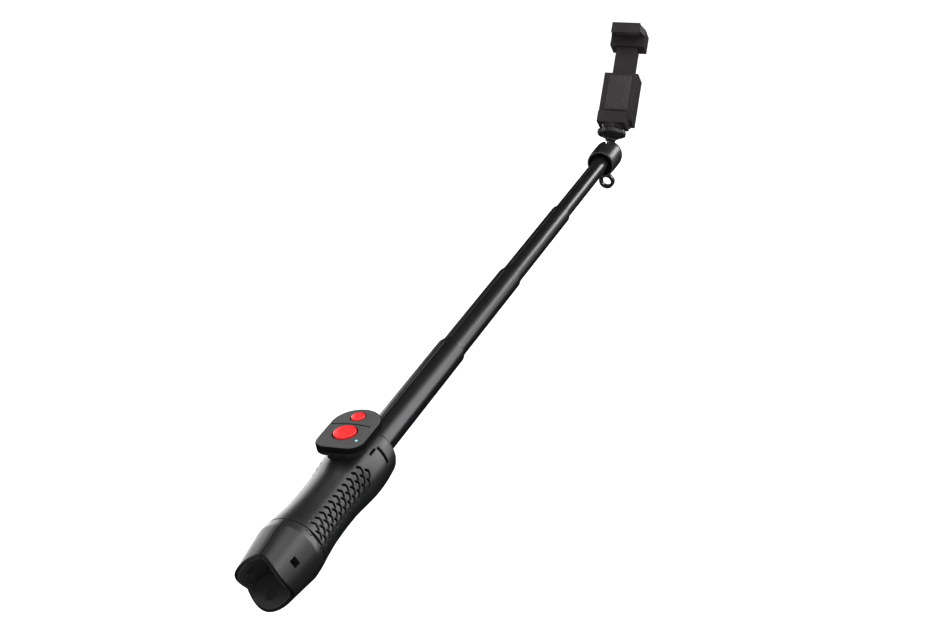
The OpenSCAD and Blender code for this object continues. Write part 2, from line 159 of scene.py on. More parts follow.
def rounded(points, radii, seg=5):
    """Rounds the corners of a closed list of 2-D points."""
    out = []
    n = len(points)
    if not hasattr(radii, "__len__"):
        radii = [radii] * n
    for i in range(n):
        p0, p1, p2 = (Vector(points[i - 1]), Vector(points[i]), Vector(points[(i + 1) % n]))
        r = radii[i]
        a, b = (p0 - p1), (p2 - p1)
        la, lb = a.length, b.length
        if r <= 0 or la < 1e-6 or lb < 1e-6:
            out.append(tuple(p1))
            continue
        a.normalize(); b.normalize()
        ang = a.angle(b)
        if ang > PI - 0.02:
            out.append(tuple(p1))
            continue
        t = min(r / math.tan(ang / 2), la * 0.49, lb * 0.49)
        r2 = t * math.tan(ang / 2)
        c = p1 + (a + b).normalized() * (r2 / math.sin(ang / 2))
        s, e = p1 + a * t - c, p1 + b * t - c
        sweep = s.angle(e)
        axis = s.x * e.y - s.y * e.x
        for k in range(seg + 1):
            th = sweep * k / seg * (1 if axis > 0 else -1)
            out.append((c.x + s.x * math.cos(th) - s.y * math.sin(th), c.y + s.x * math.sin(th) + s.y * math.cos(th)))
    return out


def circle(r, cx=0, cy=0, n=48, a0=0.0):
    return [(cx + r * math.cos(a0 + 2 * PI * i / n), cy + r * math.sin(a0 + 2 * PI * i / n)) for i in range(n)]


def stadium(r, y0, y1, n=24):
    pts = [(r * math.cos(PI * i / n), (y1 - r) + r * math.sin(PI * i / n)) for i in range(n + 1)]
    pts += [(r * math.cos(PI + PI * i / n), (y0 + r) + r * math.sin(PI + PI * i / n)) for i in range(n + 1)]
    return pts


def extrude_bm(loop, z0, z1, bevel=0.0, seg=3, ends=(True, True)):
    """A closed (x, y) loop pulled from z0 to z1, with its end edges rounded."""
    bm = bmesh.new()
    lo = [bm.verts.new((x, y, z0)) for x, y in loop]
    hi = [bm.verts.new((x, y, z1)) for x, y in loop]
    n = len(loop)
    bm.faces.new(list(reversed(lo)))
    bm.faces.new(hi)
    for i in range(n):
        j = (i + 1) % n
        bm.faces.new((lo[i], lo[j], hi[j], hi[i]))
    bm.normal_update()
    if bevel > 0:
        sel = []
        for ed in bm.edges:
            zs = [v.co.z for v in ed.verts]
            if (ends[0] and max(zs) - z0 < 1e-6) or (ends[1] and z1 - min(zs) < 1e-6):
                sel.append(ed)
        bmesh.ops.bevel(bm, geom=sel, offset=bevel, segments=seg, profile=0.5, affect="EDGES", clamp_overlap=True)
    return bm


def box_bm(x0, x1, y0, y1, z0, z1, bevel=0.5, seg=3):
    bm = bmesh.new()
    bmesh.ops.create_cube(bm, size=1)
    for v in bm.verts:
        v.co = ((x0 + x1) / 2 + v.co.x * (x1 - x0), (y0 + y1) / 2 + v.co.y * (y1 - y0), (z0 + z1) / 2 + v.co.z * (z1 - z0))
    if bevel > 0:
        bmesh.ops.bevel(bm, geom=bm.edges[:], offset=bevel, segments=seg, profile=0.5, affect="EDGES", clamp_overlap=True)
    return bm


def temp(name, bm, xf=IDENT):
    bmesh.ops.transform(bm, matrix=Matrix.Scale(MM, 4) @ xf, verts=bm.verts)
    bmesh.ops.recalc_face_normals(bm, faces=bm.faces)
    name = name.replace(" ", "_")
    me = bpy.data.meshes.new(name)
    bm.to_mesh(me)
    bm.free()
    ob = bpy.data.objects.new(name, me)
    bpy.context.scene.collection.objects.link(ob)
    return ob


def carve(ob, cutters, op="DIFFERENCE"):
    """Applies boolean cuts to ob's mesh, then removes the cutters."""
    for c in cutters:
        m = ob.modifiers.new("cut", "BOOLEAN")
        m.operation = op
        m.solver = "EXACT"
        m.object = c
        bpy.context.view_layer.update()
        dg = bpy.context.evaluated_depsgraph_get()
        new = bpy.data.meshes.new_from_object(ob.evaluated_get(dg))
        ob.modifiers.remove(m)
        old = ob.data
        ob.data = new
        bpy.data.meshes.remove(old)
        bpy.data.objects.remove(c)
    return ob


def tube_along(points, r, n=10, closed=False):
    """A round bar along points in mm."""
    pts = [Vector(p) for p in points]
    verts, faces = [], []
    m = len(pts)
    t0 = (pts[1] - pts[0]).normalized()
    nrm = t0.orthogonal().normalized()
    for i, p in enumerate(pts):
        if closed:
            t = (pts[(i + 1) % m] - pts[i - 1]).normalized()
        else:
            t = (pts[min(i + 1, m - 1)] - pts[max(i - 1, 0)]).normalized()
        nrm = (nrm - t * nrm.dot(t)).normalized()
        bn = t.cross(nrm)
        for k in range(n):
            a = 2 * PI * k / n
            verts.append(tuple(p + r * (math.cos(a) * nrm + math.sin(a) * bn)))
    for i in range(m if closed else m - 1):
        j = (i + 1) % m
        for k in range(n):
            l = (k + 1) % n
            faces.append((i * n + k, i * n + l, j * n + l, j * n + k))
    if not closed:
        faces.append(tuple(range(n)))
        faces.append(tuple(range((m - 1) * n, m * n)))
    return verts, faces


# ---------------------------------------------------------------- materials
def nd(nt, kind, **kw):
    n = nt.nodes.new(kind)
    for k, v in kw.items():
        if k in n.inputs:
            n.inputs[k].default_value = v
        else:
            setattr(n, k, v)
    return n


def material(name, base, rough=0.45, rough_var=0.06, metallic=0.0, spec=0.5, tone=0.12, grain=0.0, grain_scale=2600.0,
             coat=0.0, coat_rough=0.15, sheen=0.0, scratch=0.0, streak=None, transmission=0.0, ior=1.5, emit=0.0, aniso=0.0, painted_shade=None):
    """A principled surface with procedural variation: slow tone clouds, fine moulded grain, rub marks along the stick,
    and, when a shade colour is given, painted shade in grooves and recesses read from a point value.
    """
    m = bpy.data.materials.new(name)
    m.use_nodes = True
    nt = m.node_tree
    bsdf = nt.nodes["Principled BSDF"]
    bsdf.inputs["Metallic"].default_value = metallic
    bsdf.inputs["Specular IOR Level"].default_value = spec
    bsdf.inputs["Coat Weight"].default_value = coat
    bsdf.inputs["Coat Roughness"].default_value = coat_rough
    bsdf.inputs["Sheen Weight"].default_value = sheen
    bsdf.inputs["Sheen Roughness"].default_value = 0.5
    bsdf.inputs["IOR"].default_value = ior
    bsdf.inputs["Transmission Weight"].default_value = transmission
    bsdf.inputs["Anisotropic"].default_value = aniso
    if emit:
        bsdf.inputs["Emission Color"].default_value = (*base, 1)
        bsdf.inputs["Emission Strength"].default_value = emit
    co = nd(nt, "ShaderNodeTexCoord")
    cloud = nd(nt, "ShaderNodeTexNoise", Scale=70.0, Detail=4.0, Roughness=0.6)
    nt.links.new(co.outputs["Object"], cloud.inputs["Vector"])
    fine = nd(nt, "ShaderNodeTexNoise", Scale=900.0, Detail=3.0, Roughness=0.65)
    nt.links.new(co.outputs["Object"], fine.inputs["Vector"])
    mix = nd(nt, "ShaderNodeMix", data_type="RGBA")
    lo = [max(0.0, c * (1 - tone)) for c in base]
    hi = [min(1.0, c * (1 + tone) + 0.002 * (tone > 0)) for c in base]
    mix.inputs["A"].default_value = (*lo, 1)
    mix.inputs["B"].default_value = (*hi, 1)
    ramp = nd(nt, "ShaderNodeMapRange")
    ramp.inputs["From Min"].default_value = 0.3
    ramp.inputs["From Max"].default_value = 0.7
    nt.links.new(cloud.outputs["Fac"], ramp.inputs["Value"])
    nt.links.new(ramp.outputs["Result"], mix.inputs["Factor"])
    color = mix.outputs["Result"]
    rr = nd(nt, "ShaderNodeMapRange")
    rr.inputs["From Min"].default_value = 0.3
    rr.inputs["From Max"].default_value = 0.7
    rr.inputs["To Min"].default_value = max(0.02, rough - rough_var)
    rr.inputs["To Max"].default_value = min(1.0, rough + rough_var)
    nt.links.new(fine.outputs["Fac"], rr.inputs["Value"])
    rough_out = rr.outputs["Result"]
    if painted_shade:
        # this point value is 1 at the bottom of a groove or on a recessed side; there the colour is painted towards the
        # given near black and the reflection is dulled, as painted shade
        at = nd(nt, "ShaderNodeAttribute", attribute_name="painted_shade")
        dk = nd(nt, "ShaderNodeMix", data_type="RGBA")
        dk.inputs["B"].default_value = (*painted_shade, 1)
        nt.links.new(at.outputs["Fac"], dk.inputs["Factor"])
        nt.links.new(color, dk.inputs["A"])
        color = dk.outputs["Result"]
        dr = nd(nt, "ShaderNodeMix", data_type="FLOAT")
        dr.inputs["B"].default_value = min(0.9, rough + 0.35)
        nt.links.new(at.outputs["Fac"], dr.inputs["Factor"])
        nt.links.new(rough_out, dr.inputs["A"])
        rough_out = dr.outputs["Result"]
        ds = nd(nt, "ShaderNodeMix", data_type="FLOAT")
        ds.inputs["A"].default_value = spec
        ds.inputs["B"].default_value = 0.04
        nt.links.new(at.outputs["Fac"], ds.inputs["Factor"])
        nt.links.new(ds.outputs["Result"], bsdf.inputs["Specular IOR Level"])
    nt.links.new(color, bsdf.inputs["Base Color"])
    nt.links.new(rough_out, bsdf.inputs["Roughness"])
    height = None
    if grain > 0:
        g = nd(nt, "ShaderNodeTexNoise", Scale=grain_scale, Detail=2.0, Roughness=0.55)
        nt.links.new(co.outputs["Object"], g.inputs["Vector"])
        height = g.outputs["Fac"]
        strength = grain
    if streak:
        mp = nd(nt, "ShaderNodeMapping")
        mp.inputs["Scale"].default_value = streak
        nt.links.new(co.outputs["Object"], mp.inputs["Vector"])
        s = nd(nt, "ShaderNodeTexNoise", Scale=1.0, Detail=3.0, Roughness=0.6)
        nt.links.new(mp.outputs["Vector"], s.inputs["Vector"])
        if height is None:
            height, strength = s.outputs["Fac"], scratch or 0.08
        else:
            ad = nd(nt, "ShaderNodeMath", operation="ADD")
            nt.links.new(height, ad.inputs[0])
            nt.links.new(s.outputs["Fac"], ad.inputs[1])
            height = ad.outputs[0]
    if height is not None:
        b = nd(nt, "ShaderNodeBump")
        b.inputs["Strength"].default_value = strength
        b.inputs["Distance"].default_value = 0.0002
        nt.links.new(height, b.inputs["Height"])
        nt.links.new(b.outputs["Normal"], bsdf.inputs["Normal"])
    return m


M = {
    # the grip rubber's near-black second colour is painted shade for the bottoms of its strokes and marks
    "grip_rubber": material("grip soft rubber", (0.0065, 0.0065, 0.007), rough=0.38, rough_var=0.04, spec=0.62, grain=0.05, grain_scale=3200, tone=0.1, painted_shade=(0.001, 0.001, 0.001)),
    "grip_plastic": material("grip plastic", (0.009, 0.009, 0.0095), rough=0.33, rough_var=0.04, spec=0.45, grain=0.03, tone=0.1),
    "leg_plastic": material("leg plastic", (0.0065, 0.0065, 0.007), rough=0.36, rough_var=0.04, spec=0.7, grain=0.04, grain_scale=2800, tone=0.1),
    "foot_rubber": material("foot rubber", (0.012, 0.012, 0.0125), rough=0.6, spec=0.3, grain=0.2, grain_scale=3600),
    "tube_black": material("black anodised tube", (0.005, 0.005, 0.0055), rough=0.29, rough_var=0.02, spec=0.42, coat=0.08, coat_rough=0.25, grain=0.012, grain_scale=1800, tone=0.06),
    "nylon": material("natural nylon", (0.62, 0.61, 0.57), rough=0.5, spec=0.4, grain=0.05, tone=0.04),
    "steel_pin": material("ground steel", (0.5, 0.5, 0.52), rough=0.28, metallic=1.0, streak=(3000, 60, 3000), scratch=0.05, tone=0.05),
    "head_plastic": material("head plastic", (0.008, 0.008, 0.0085), rough=0.32, rough_var=0.04, spec=0.5, grain=0.04, grain_scale=2600, tone=0.1),
    "spring_steel": material("spring steel", (0.5, 0.5, 0.52), rough=0.25, metallic=1.0, tone=0.06),
    "stem_metal": material("black zinc", (0.012, 0.012, 0.0125), rough=0.26, spec=0.55, coat=0.2, coat_rough=0.2, tone=0.08),
    "brass": material("turned brass", (0.66, 0.47, 0.19), rough=0.28, metallic=1.0, tone=0.05),
    "clamp_plastic": material("clamp plastic", (0.017, 0.0135, 0.014), rough=0.38, rough_var=0.04, spec=0.45, grain=0.05, grain_scale=2600, tone=0.1),
    "clamp_rubber": material("clamp rubber", (0.030, 0.025, 0.027), rough=0.6, spec=0.3, grain=0.12, tone=0.12),
    # the remote face's near-black second colour is painted shade for its side wall, ring recesses and divider groove
    "remote_face": material("remote face", (0.054, 0.054, 0.055), rough=0.50, rough_var=0.05, spec=0.35, grain=0.08, grain_scale=3400, tone=0.08, painted_shade=(0.003, 0.003, 0.0032)),
    "remote_case": material("remote case", (0.009, 0.009, 0.0095), rough=0.36, spec=0.45, grain=0.04, tone=0.08),
    "button_red": material("red silicone button", (0.78, 0.008, 0.012), rough=0.34, rough_var=0.03, spec=0.5, coat=0.5, coat_rough=0.3, grain=0.01, grain_scale=1500, tone=0.04),
    "led_blue": material("status lens", (0.22, 0.72, 0.95), rough=0.15, spec=0.5, emit=0.3, tone=0.1),
    "board": material("solder mask", (0.012, 0.10, 0.04), rough=0.3, spec=0.5, coat=0.3, tone=0.15),
    "switch_metal": material("plated switch", (0.6, 0.6, 0.6), rough=0.3, metallic=1.0, tone=0.04),
    "cell": material("coin cell", (0.66, 0.66, 0.67), rough=0.24, metallic=1.0, streak=(400, 400, 10), scratch=0.03, tone=0.04),
}
STEEL = M["steel_pin"]

# every solid of the frame gets its finish, softened edges and shaded normals
slot_of = {s["node"]: s["material_slot"] for s in frame["record"]["subparts"]}
BEVEL = {"leg_back": 0.22, "leg_left": 0.22, "leg_right": 0.22, "collar": 0.25, "end_cap": 0.3, "leg_hub": 0.2, "remote_dock": 0.25,
         "clamp_cover": 0.5, "clamp_body": 0.5, "upper_jaw": 0.5, "ball_housing": 0.08, "tube_1": 0.07, "tube_2": 0.07, "tube_3": 0.07,
         "tube_4": 0.07, "foot_back": 0.25, "foot_left": 0.25, "foot_right": 0.25, "lower_pad": 0.25, "back_pad": 0.3, "upper_pad": 0.25}
for name, ob in frame["nodes"].items():
    ob.data.materials.clear()
    ob.data.materials.append(M[slot_of[name]])
    for p in ob.data.polygons:
        p.use_smooth = True
    bv = ob.modifiers.new("soft edges", "BEVEL")
    bv.width = BEVEL.get(name, 0.1) * MM
    bv.segments = 3
    bv.limit_method = "ANGLE"
    bv.angle_limit = math.radians(40)
    bv.use_clamp_overlap = True
    bv.harden_normals = False
    bpy.context.view_layer.update()
    bm = bmesh.new()
    bm.from_mesh(ob.data)
    sharp = [ed.index for ed in bm.edges if len(ed.link_faces) == 2 and ed.calc_face_angle(0) > math.radians(30)]
    bm.free()
    for i in sharp:
        ob.data.edges[i].use_edge_sharp = True

def leg_finish_and_painted_rim(ob):
    """The leg's finish: satin outside, a black band of painted shade on the wall's cut edge, a thin lighter lip as a
    painted highlight, and a dull dark inner face.
    """
    m = M["leg_plastic"].copy()
    m.name = "leg plastic " + ob.name
    nt = m.node_tree
    bsdf = nt.nodes["Principled BSDF"]
    co = nd(nt, "ShaderNodeTexCoord")
    mp = nd(nt, "ShaderNodeMapping")
    mp.inputs["Location"].default_value = ob.matrix_world.translation
    mp.inputs["Rotation"].default_value = ob.matrix_world.to_euler()
    nt.links.new(co.outputs["Object"], mp.inputs["Vector"])
    sp = nd(nt, "ShaderNodeSeparateXYZ")
    nt.links.new(mp.outputs["Vector"], sp.inputs["Vector"])

    def calc(op, a, b=None, c=None):
        n = nd(nt, "ShaderNodeMath", operation=op)
        for i, v in enumerate((a, b, c)):
            if v is None:
                continue
            if isinstance(v, (int, float)):
                n.inputs[i].default_value = v
            else:
                nt.links.new(v, n.inputs[i])
        return n.outputs[0]

    x, y, z = sp.outputs["X"], sp.outputs["Y"], sp.outputs["Z"]
    r = calc("SQRT", calc("ADD", calc("MULTIPLY", x, x), calc("MULTIPLY", z, z)))
    outer = calc("MULTIPLY_ADD", y, 3.6 / 31, 0.0168226)
    depth = calc("MULTIPLY", calc("SUBTRACT", outer, r), 250.0)          # 1.0 is 4 mm below the outer skin
    below = calc("LESS_THAN", y, 0.008)
    depth = calc("MULTIPLY", depth, below)
    # inside the wall, by depth: black from 0.14 to 0.46 is painted shade along the cut edge, the lighter band from 0.49
    # to 0.54 is a painted highlight on the lip, then comes the dull inner face
    ramp = nd(nt, "ShaderNodeValToRGB")
    el = ramp.color_ramp.elements
    el[0].position, el[0].color = 0.10, (0.0065, 0.0065, 0.007, 1)
    el[1].position, el[1].color = 1.0, (0.012, 0.012, 0.0125, 1)
    for pos, c in ((0.14, 0.0012), (0.46, 0.0012), (0.49, 0.030), (0.54, 0.030), (0.58, 0.011)):
        e_ = el.new(pos)
        e_.color = (c, c, c * 1.04, 1)
    nt.links.new(depth, ramp.inputs["Fac"])
    mix = nd(nt, "ShaderNodeMix", data_type="RGBA")
    old = bsdf.inputs["Base Color"].links[0].from_socket
    inside = calc("MULTIPLY", calc("GREATER_THAN", depth, 0.09), 1.0)
    nt.links.new(inside, mix.inputs["Factor"])
    nt.links.new(old, mix.inputs["A"])
    nt.links.new(ramp.outputs["Color"], mix.inputs["B"])
    nt.links.new(mix.outputs["Result"], bsdf.inputs["Base Color"])
    rmix = nd(nt, "ShaderNodeMix", data_type="FLOAT")
    rmix.inputs["B"].default_value = 0.7
    oldr = bsdf.inputs["Roughness"].links[0].from_socket
    nt.links.new(inside, rmix.inputs["Factor"])
    nt.links.new(oldr, rmix.inputs["A"])
    nt.links.new(rmix.outputs["Result"], bsdf.inputs["Roughness"])
    ob.data.materials[0] = m


for name in ("leg_back", "leg_left", "leg_right"):
    leg_finish_and_painted_rim(frame["nodes"][name])

# ---------------------------------------------------------------- grip sleeve with moulded chevrons
# three columns of bent strokes on each side: angles (degrees from the front) of start, bend and end, how far start and end
# lie below the bend, height of the top bend, and how many there are
STROKES = [(39.0, 46.7, 58.0, 1.5, 1.7, 74.75, 11), (54.5, 62.0, 72.5, 1.5, 1.9, 77.4, 12), (69.6, 74.8, 85.5, 1.1, 1.9, 74.2, 11)]
PITCH = 5.16


def stroke_points():
    out = []
    for a0, a1, a2, d0, d2, top, n in STROKES:
        for k in range(n):
            yb = top - PITCH * k
            r = grip_at(yb)
            s0, s1, s2 = (math.radians(v) * r for v in (a0, a1, a2))
            p0, p1, p2 = (s0, yb - d0), (s1, yb), (s2, yb - d2)
            # straight arms with a short round bend
            pts = [p0]
            for t in (0.0, 0.25, 0.5, 0.75, 1.0):
                q0 = (p1[0] + 0.28 * (p0[0] - p1[0]), p1[1] + 0.28 * (p0[1] - p1[1]))
                q2 = (p1[0] + 0.2 * (p2[0] - p1[0]), p1[1] + 0.2 * (p2[1] - p1[1]))
                pts.append(tuple((1 - t) ** 2 * q0[i] + 2 * t * (1 - t) * p1[i] + t * t * q2[i] for i in (0, 1)))
            pts.append(p2)
            out.append(pts)
    return out


def relief(angs, ys):
    """Height in mm added to the sleeve at each angle and height: strokes cut in, with a swell under each like a scale."""
    A, Y = np.meshgrid(np.abs(np.array(angs)), np.array(ys))
    R = np.array([grip_at(y) for y in ys])[:, None]
    S = np.radians(A) * R
    H = np.zeros_like(S)
    for pts in stroke_points():
        yb = max(q[1] for q in pts)
        lo, hi = np.searchsorted(ys, yb - 6.0), np.searchsorted(ys, yb + 1.6)
        s_, y_ = S[lo:hi], Y[lo:hi]
        best = np.full(s_.shape, 9.0)
        run = np.zeros(s_.shape)
        side = np.zeros(s_.shape)
        total = sum(math.dist(u, v) for u, v in zip(pts, pts[1:]))
        done = 0.0
        for u, v in zip(pts, pts[1:]):
            dx, dy = v[0] - u[0], v[1] - u[1]
            ln = math.hypot(dx, dy)
            t = np.clip(((s_ - u[0]) * dx + (y_ - u[1]) * dy) / ln ** 2, 0, 1)
            px, py = u[0] + t * dx, u[1] + t * dy
            d = np.hypot(s_ - px, y_ - py)
            closer = d < best
            best = np.where(closer, d, best)
            run = np.where(closer, (done + t * ln) / total, run)
            side = np.where(closer, y_ - py, side)
            done += ln
        taper = np.clip(np.minimum(run / 0.16, (1 - run) / 0.12), 0.0, 1.0)
        w = 0.96 * (0.6 + 0.4 * taper)
        cut = np.clip(1 - best / w, 0, 1)
        cut = cut * cut * (3 - 2 * cut)
        under = np.where(side < 0, np.clip((best - 0.35) / 0.4, 0, 1) * np.clip((3.2 - best) / 2.6, 0, 1), 0)
        inside = np.clip(np.minimum((s_ - pts[0][0]) / 0.7, (pts[-1][0] - s_) / 0.7), 0, 1)
        H[lo:hi] = np.minimum(H[lo:hi], 0) + np.maximum(H[lo:hi], 0.2 * under * inside * taper)
        H[lo:hi] = np.where(cut > 0.02, np.minimum(H[lo:hi], 0.1) - 1.1 * cut * (0.6 + 0.4 * taper), H[lo:hi])
    return H


def mark_depth(a, y):
    """Two short parting marks moulded beside the collar, on both sides."""
    a = abs(a)
    d = 0.0
    r = grip_at(y)
    if 46 <= a <= 84:
        e_ = min(1, (a - 46) / 1.5, (84 - a) / 1.5)
        d = max(d, 0.6 * e_ * max(0.0, min(1.0, (1.0 - abs(y - 94.0)) / 0.3)))
    if 85.8 <= y <= 92.2:
        e_ = min(1, (y - 85.8) / 0.5, (92.2 - y) / 0.5)
        d = max(d, 0.5 * e_ * max(0.0, min(1.0, (0.7 - abs((a - 45) * PI / 180 * r)) / 0.25)))
    return d


def spaced(parts):
    out = []
    for lo, hi, step in parts:
        n = max(1, int(round((hi - lo) / step)))
        out += [lo + (hi - lo) * i / n for i in range(n)]
    out.append(parts[-1][1])
    return out


# stores the point value that paints shade into grooves and recesses
def set_painted_shade(ob, fn):
    me = ob.data
    at = me.attributes.get("painted_shade") or me.attributes.new("painted_shade", "FLOAT", "POINT")
    at.data.foreach_set("value", [fn(v.co.x / MM, v.co.y / MM, v.co.z / MM) for v in me.vertices])


def build_sleeve():
    ys = spaced([(16.9, 17.2, 0.1), (17.2, 78.6, 0.2), (78.6, 85.4, 0.7), (85.4, 94.8, 0.24), (94.8, 102.4, 0.7), (102.4, 103.2, 0.4)])
    half = spaced([(0, 37.5, 2.5), (37.5, 87, 0.72), (87, 180, 3.0)])
    angs = [-a for a in reversed(half[1:])] + half[:-1]
    verts, faces = [], []
    na, ny = len(angs), len(ys)
    H = relief(angs, ys)
    for j, y in enumerate(ys):
        edge = 0.22 * max(0.0, 1 - (y - 16.9) / 0.25)
        g = grip_at(y)
        for i, a in enumerate(angs):
            r = g + min(0.12, float(H[j, i])) - mark_depth(a, y) - edge
            t = math.radians(a)
            verts.append((r * math.sin(t), y, r * math.cos(t)))
    for j in range(ny - 1):
        for i in range(na):
            k = (i + 1) % na
            faces.append((j * na + i, j * na + k, (j + 1) * na + k, (j + 1) * na + i))
    # inner skin
    base = len(verts)
    ys2 = [16.9 + (103.2 - 16.9) * i / 40 for i in range(41)]
    for y in ys2:
        for a in angs:
            r = grip_at(y) - 1.78
            t = math.radians(a)
            verts.append((r * math.sin(t), y, r * math.cos(t)))
    for j in range(40):
        for i in range(na):
            k = (i + 1) % na
            faces.append((base + j * na + i, base + (j + 1) * na + i, base + (j + 1) * na + k, base + j * na + k))
    for i in range(na):
        k = (i + 1) % na
        faces.append((i, base + i, base + k, k))
        t0, t1 = (ny - 1) * na, base + 40 * na
        faces.append((t0 + i, t0 + k, t1 + k, t1 + i))
    ob = add("sleeve skin", verts, faces)
    cut = temp("cut", extrude_bm(stadium(BOSS_R + 1.22, DOCK_Y0 - 1.22, DOCK_Y1 + 1.22), 9, 30))
    carve(ob, [cut])
    finish_piece(ob, M["grip_rubber"], "grip", "grip_rubber", angle=50, replaces=("grip_sleeve",))
    ax, yx = np.array(angs), np.array(ys)

    # painted shade: rises to 1 in the bottoms of the cut strokes and of the parting marks, 0 on the raised skin
    def painted_shade(x, y, z):
        r = math.hypot(x, z)
        if r < grip_at(y) - 1.3:
            return 0.0
        a = math.degrees(math.atan2(x, z))
        i = min(len(ax) - 1, max(0, int(np.abs(ax - a).argmin())))
        j = int(np.abs(yx - y).argmin())
        g = max(0.0, -float(H[j, i]) - 0.05) / 0.4
        return min(1.0, g + mark_depth(a, y) / 0.3)

    set_painted_shade(ob, painted_shade)
    return ob


build_sleeve()

# ---------------------------------------------------------------- remote control
def remote_loop(m, n=40):
    """The remote's outline shrunk by m: a round top and a blunt lower edge with soft corners."""
    w = RW - m
    pts = [(w * math.cos(PI * i / n), RYC + w * math.sin(PI * i / n)) for i in range(n + 1)]
    r = 8 - m
    y0 = RY0 + m
    for i in range(15):
        a = PI + PI / 2 * i / 14
        pts.append((-w + r + r * math.cos(a), y0 + r + r * math.sin(a)))
    for i in range(15):
        a = 1.5 * PI + PI / 2 * i / 14
        pts.append((w - r + r * math.cos(a), y0 + r + r * math.sin(a)))
    return [(x + PX, y) for x, y in pts]


def skin_loops(loops, cap0=True, cap1=True):
    """Joins loops of equal length: each is a list of (x, y, z)."""
    verts, faces = [], []
    n = len(loops[0])
    for lp in loops:
        verts += lp
    for j in range(len(loops) - 1):
        for i in range(n):
            k = (i + 1) % n
            faces.append((j * n + i, j * n + k, (j + 1) * n + k, (j + 1) * n + i))
    if cap0:
        faces.append(tuple(reversed(range(n))))
    if cap1:
        faces.append(tuple(range((len(loops) - 1) * n, len(loops) * n)))
    return verts, faces


def remote_shell():
    # rounded upper edge, then a shallow dish on the face
    prof = [(0.0, RZ1)] + [(1.5 - 1.5 * math.cos(t), RZ2 - 1.5 + 1.5 * math.sin(t)) for t in [PI / 2 * i / 8 for i in range(9)]]
    prof += [(2.0, RZ2 - 0.0), (2.6, RZ2 - 0.05), (4.5, RZ2 - 0.14), (7.0, RZ2 - 0.18)]
    loops = [[(x, y, z) for x, y in remote_loop(m)] for m, z in prof]
    v, f = skin_loops(loops, True, True)
    ob = add("remote face shell", v, f)
    cuts = [temp("c0", extrude_bm(remote_loop(1.4), RZ1 - 1, RZ2 - 1.2)),
            temp("c1", extrude_bm(circle(BIG_R + 0.32, 0, BIG_Y, 64), 20, 30)),
            temp("c2", extrude_bm(circle(SMALL_R + 0.32, 0, SMALL_Y, 56), 20, 30)),
            temp("c3", extrude_bm(circle(0.82, 9.9, BIG_Y - 6.4, 24), 20, 30))]
    # ring recess round each button, with sloping sides
    for r, y in ((BIG_R + 1.15, BIG_Y), (SMALL_R + 0.95, SMALL_Y)):
        vv, ff = skin_loops([[(x, yy, RZ2 - 0.62) for x, yy in circle(r - 0.45, 0, y, 64)], [(x, yy, RZ2 + 0.6) for x, yy in circle(r + 0.1, 0, y, 64)]])
        cuts.append(add("c4", vv, ff))
    # divider groove, a shallow arc between the buttons, kept clear of the edges
    arc = []
    for i in range(41):
        x = -11.6 + 23.2 * i / 40
        arc.append((x, 48.9 + math.sqrt(45.7 ** 2 - x * x), RZ2 - 0.02))
    vv, ff = tube_along(arc, 0.58, 10)
    cuts.append(add("c5", vv, ff))
    carve(ob, cuts)
    finish_piece(ob, M["remote_face"], "remote", "remote_face", angle=32, replaces=("remote_top",))
    # painted shade: 1 on the side wall and everything below z 24.45, rising from 0 at z 24.76 to 1 at z 24.64 down the
    # ring recess walls and the divider groove
    set_painted_shade(ob, lambda x, y, z: 1.0 if z < 24.45 else min(1.0, max(0.0, (24.76 - z) / 0.12)))


remote_shell()


def remote_base():
    prof = [(0.9, RZ0)] + [(0.9 - 0.9 * math.sin(t), RZ0 + 0.9 - 0.9 * math.cos(t)) for t in [PI / 2 * i / 6 for i in range(1, 7)]] + [(0.0, RZ1 - 0.22), (0.18, RZ1 - 0.18), (0.18, RZ1)]
    v, f = skin_loops([[(x, y, z) for x, y in remote_loop(m)] for m, z in prof])
    ob = add("remote base shell", v, f)
    # the bulge that drops into the grip, with a flared root and a rounded foot
    st = []
    for d, z in [(0.75, 12.42), (0.35, 12.6), (0.08, 13.0), (0.0, 13.5), (0.0, 16.6), (-0.35, 18.0), (-1.0, 18.8), (-1.9, 19.3), (-1.9, 19.6)]:
        st.append([(x, y, z) for x, y in stadium(BOSS_R - d, DOCK_Y0 + d, DOCK_Y1 - d)])
    vv, ff = skin_loops(st)
    boss = add("c", vv, ff)
    carve(ob, [boss], "UNION")
    cuts = [temp("c0", extrude_bm(remote_loop(1.4), RZ0 + 1.2, RZ1 + 1)),
            temp("c1", extrude_bm(circle(8.15, 0, CELL_Y, 64), 13.6, 22)),
            temp("c2", extrude_bm(circle(7.0, 0, CELL_Y, 64), 10, 20))]
    carve(ob, cuts)
    finish_piece(ob, M["remote_case"], "remote", "remote_case", angle=32, replaces=("remote_bottom",))


remote_base()


def button(name, r, y, top, node, body):
    prof = [(0, 22.82), (r + 0.85, 22.82), (r + 0.85, 23.45), (r, 23.48), (r, top - 0.95)]
    edge = 0.55
    for i in range(1, 9):
        t = PI / 2 * i / 8
        prof.append((r - edge + edge * math.cos(t), top - 0.95 + edge * math.sin(t)))
    # crowned cap with a shallow thumb dish in its middle
    for k in range(1, 13):
        q = (r - edge) * (1 - k / 12)
        crown = 0.38 * (1 - (q / (r - edge)) ** 2)
        dish = 0.17 * max(0.0, 1 - (q / (0.62 * r)) ** 2) ** 2
        prof.append((max(q, 0.0), top - 0.40 + crown - dish))
    verts, faces = lathe_mesh(prof, 72, closed=False)
    v2 = [(x, y + z, h) for x, h, z in verts]
    add(name, v2, faces, M["button_red"], body, "button_red", angle=48, replaces=(node,))


button("large red key", BIG_R, BIG_Y, 26.1, "big_button", "big_button")
button("small red key", SMALL_R, SMALL_Y, 25.8, "small_button", "small_button")

